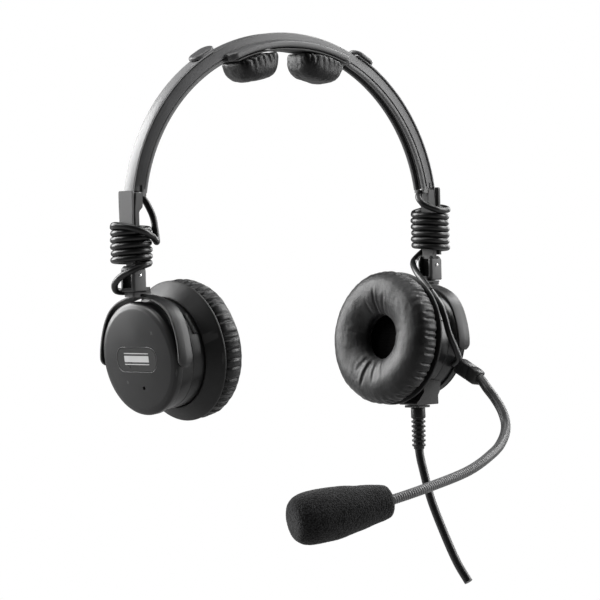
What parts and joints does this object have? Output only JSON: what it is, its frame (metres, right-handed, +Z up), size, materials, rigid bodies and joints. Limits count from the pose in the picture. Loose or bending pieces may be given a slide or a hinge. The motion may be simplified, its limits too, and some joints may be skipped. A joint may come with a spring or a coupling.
{
  "type": "aviation headset",
  "caption": "Aviation headset: sprung headband with sliding arms, swivelling forks, padded on-ear cups, coiled ear cables and a boom microphone with a foam windscreen.",
  "frame": {"origin": "middle of the flat underside of the pad plate at the crown, where the headset hangs on a hook", "axes": "+Z up along the head's height, wearer faces -Y, +X towards the wearer's left ear, which carries the boom"},
  "size_m": [0.2214, 0.1097, 0.2782],
  "materials": {
    "grey_plastic": "satin dark grey moulding",
    "black_plastic": "satin black with a fine moulded grain",
    "painted_strip": "near-white satin paint on spring steel",
    "bright_steel": "bright steel",
    "black_leatherette": "soft black leatherette with fine grain",
    "grey_foam": "open-cell charcoal foam",
    "black_cable": "semi-gloss black cable sheath",
    "grey_gooseneck": "grey ribbed sleeve",
    "badge_face": "smooth black badge with plain bars"
  },
  "bodies": {
    "headband": {"band": "grey_plastic", "crown_saddle": "grey_plastic", "pad_plate": "grey_plastic", "left_head_pad": "black_leatherette", "right_head_pad": "black_leatherette", "band_cable": "black_cable", "left_spring_strip": "painted_strip", "left_strip_clip": "grey_plastic", "right_spring_strip": "painted_strip", "right_strip_clip": "grey_plastic"},
    "left_arm": {"left_arm_body": "grey_plastic", "left_arm_cover": "grey_plastic", "left_arm_block": "black_plastic", "left_block_pin": "bright_steel", "left_coil_cable": "black_cable"},
    "left_fork": {"left_swivel_stem": "grey_plastic", "left_yoke": "black_plastic", "left_tail_cable": "black_cable"},
    "left_cup": {"left_housing": "black_plastic", "left_outer_cap": "black_plastic", "left_badge": "badge_face", "left_baffle_flange": "black_plastic", "left_speaker": "bright_steel", "left_sound_disc": "grey_foam", "left_ear_cushion": "black_leatherette", "left_entry_cable": "black_cable", "clamp_plate": "grey_plastic", "strain_relief": "black_cable", "down_lead": "black_cable"},
    "right_arm": {"right_arm_body": "grey_plastic", "right_arm_cover": "grey_plastic", "right_arm_block": "black_plastic", "right_block_pin": "bright_steel", "right_coil_cable": "black_cable"},
    "right_fork": {"right_swivel_stem": "grey_plastic", "right_yoke": "black_plastic", "right_tail_cable": "black_cable"},
    "right_cup": {"right_housing": "black_plastic", "right_outer_cap": "black_plastic", "right_badge": "badge_face", "right_baffle_flange": "black_plastic", "right_speaker": "bright_steel", "right_sound_disc": "grey_foam", "right_ear_cushion": "black_leatherette", "right_entry_cable": "black_cable"},
    "boom": {"boom_swivel": "black_plastic", "gooseneck": "grey_gooseneck", "mic_capsule": "bright_steel", "windscreen": "grey_foam"}
  },
  "joints": [
    {"name": "left_arm_slide", "type": "slide", "parent": "headband", "child": "left_arm", "axis": [0, 0, -1], "range_m": [0, 0.022], "deforming": ["left_coil_cable"]},
    {"name": "left_fork_swivel", "type": "hinge", "parent": "left_arm", "child": "left_fork", "pos_m": [0.0992, 0, -0.115], "axis": [0, 0, 1], "range_deg": [-15, 15], "deforming": ["left_tail_cable"]},
    {"name": "left_cup_tilt", "type": "hinge", "parent": "left_fork", "child": "left_cup", "pos_m": [0.0906, 0, -0.14717], "axis": [0, 1, 0], "range_deg": [-8, 8], "deforming": ["left_entry_cable"]},
    {"name": "right_arm_slide", "type": "slide", "parent": "headband", "child": "right_arm", "axis": [0, 0, -1], "range_m": [0, 0.022], "deforming": ["right_coil_cable"]},
    {"name": "right_fork_swivel", "type": "hinge", "parent": "right_arm", "child": "right_fork", "pos_m": [-0.0992, 0, -0.115], "axis": [0, 0, 1], "range_deg": [-15, 15], "deforming": ["right_tail_cable"]},
    {"name": "right_cup_tilt", "type": "hinge", "parent": "right_fork", "child": "right_cup", "pos_m": [-0.0906, 0, -0.14717], "axis": [0, 1, 0], "range_deg": [-8, 8], "deforming": ["right_entry_cable"]},
    {"name": "boom_turn", "type": "hinge", "parent": "left_cup", "child": "boom", "pos_m": [0.0906, 0, -0.14717], "axis": [0.9931, 0, -0.1175], "range_deg": [-6, 30]}
  ]
}
